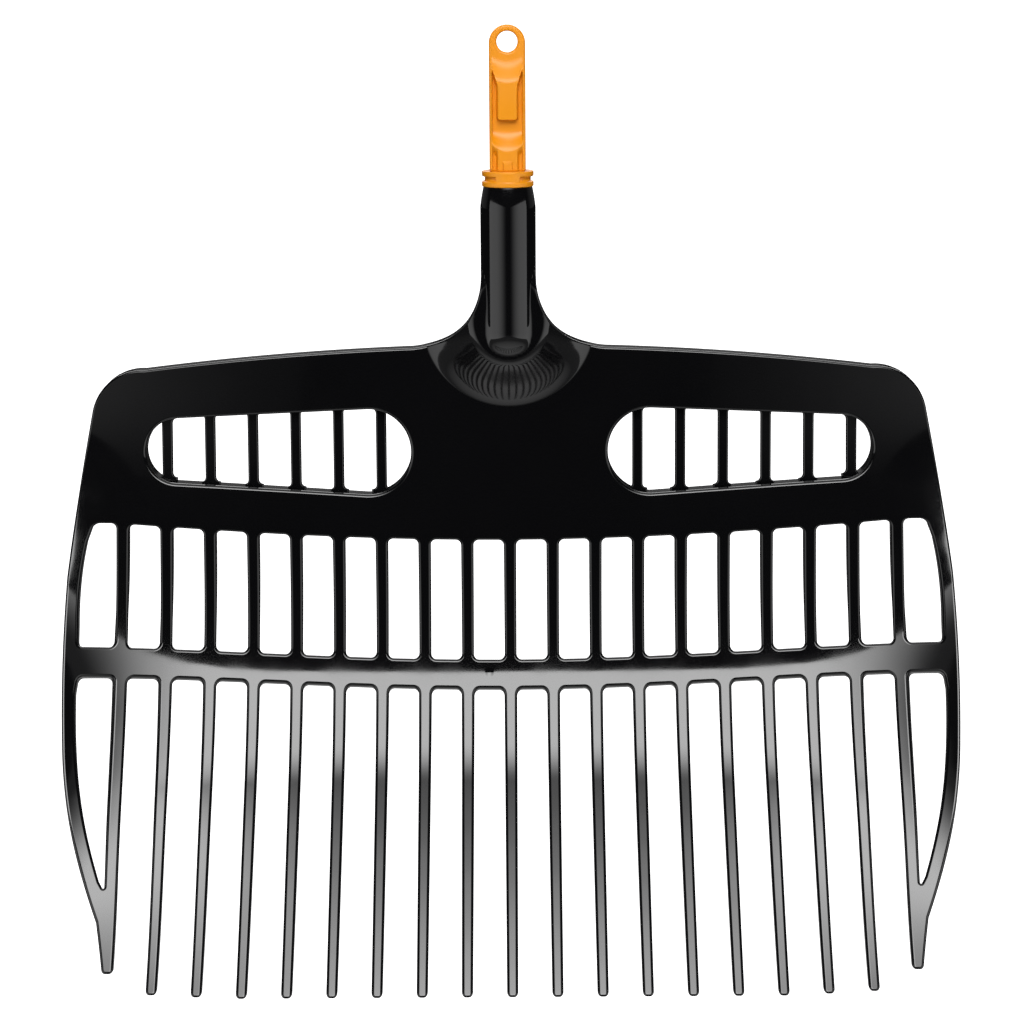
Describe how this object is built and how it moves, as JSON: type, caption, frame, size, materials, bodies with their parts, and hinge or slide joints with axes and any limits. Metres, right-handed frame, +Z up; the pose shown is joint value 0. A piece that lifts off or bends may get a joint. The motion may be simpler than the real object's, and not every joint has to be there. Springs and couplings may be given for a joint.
{
  "type": "leaf scoop head",
  "caption": "Wide black plastic scoop head with straight tines, a windowed blade, two hand slots and an orange push-in handle adapter with a hang ring.",
  "frame": {"origin": "on the socket's axis, in the plane of the collar's shoulder that the handle's end butts against", "axes": "+Z up the handle socket's axis towards the hang ring, +X across the tines, -Y towards the scooping side that the tines lean to"},
  "size_m": [0.5608, 0.175, 0.5727],
  "materials": {
    "black_plastic": "glossy black moulded polypropylene",
    "orange_plastic": "satin orange moulded nylon",
    "screw_steel": "zinc plated steel"
  },
  "bodies": {
    "root": {"blade_end_left": "black_plastic", "blade_end_right": "black_plastic", "blade_lower_band": "black_plastic", "blade_middle": "black_plastic", "blade_rim_left": "black_plastic", "blade_rim_right": "black_plastic", "blade_upper_band": "black_plastic", "cross_bar": "black_plastic", "handle_adapter": "orange_plastic", "retaining_screw": "screw_steel", "rib_left_1": "black_plastic", "rib_left_2": "black_plastic", "rib_left_3": "black_plastic", "rib_left_4": "black_plastic", "rib_left_5": "black_plastic", "rib_left_6": "black_plastic", "rib_left_7": "black_plastic", "rib_left_8": "black_plastic", "rib_left_9": "black_plastic", "rib_middle": "black_plastic", "rib_right_1": "black_plastic", "rib_right_2": "black_plastic", "rib_right_3": "black_plastic", "rib_right_4": "black_plastic", "rib_right_5": "black_plastic", "rib_right_6": "black_plastic", "rib_right_7": "black_plastic", "rib_right_8": "black_plastic", "rib_right_9": "black_plastic", "side_rail_left": "black_plastic", "side_rail_right": "black_plastic", "slot_rim_left": "black_plastic", "slot_rim_right": "black_plastic", "socket_nose": "black_plastic", "socket_tube": "black_plastic", "tine_left_1": "black_plastic", "tine_left_2": "black_plastic", "tine_left_3": "black_plastic", "tine_left_4": "black_plastic", "tine_left_5": "black_plastic", "tine_left_6": "black_plastic", "tine_left_7": "black_plastic", "tine_left_8": "black_plastic", "tine_left_9": "black_plastic", "tine_middle": "black_plastic", "tine_right_1": "black_plastic", "tine_right_2": "black_plastic", "tine_right_3": "black_plastic", "tine_right_4": "black_plastic", "tine_right_5": "black_plastic", "tine_right_6": "black_plastic", "tine_right_7": "black_plastic", "tine_right_8": "black_plastic", "tine_right_9": "black_plastic"}
  },
  "joints": []
}
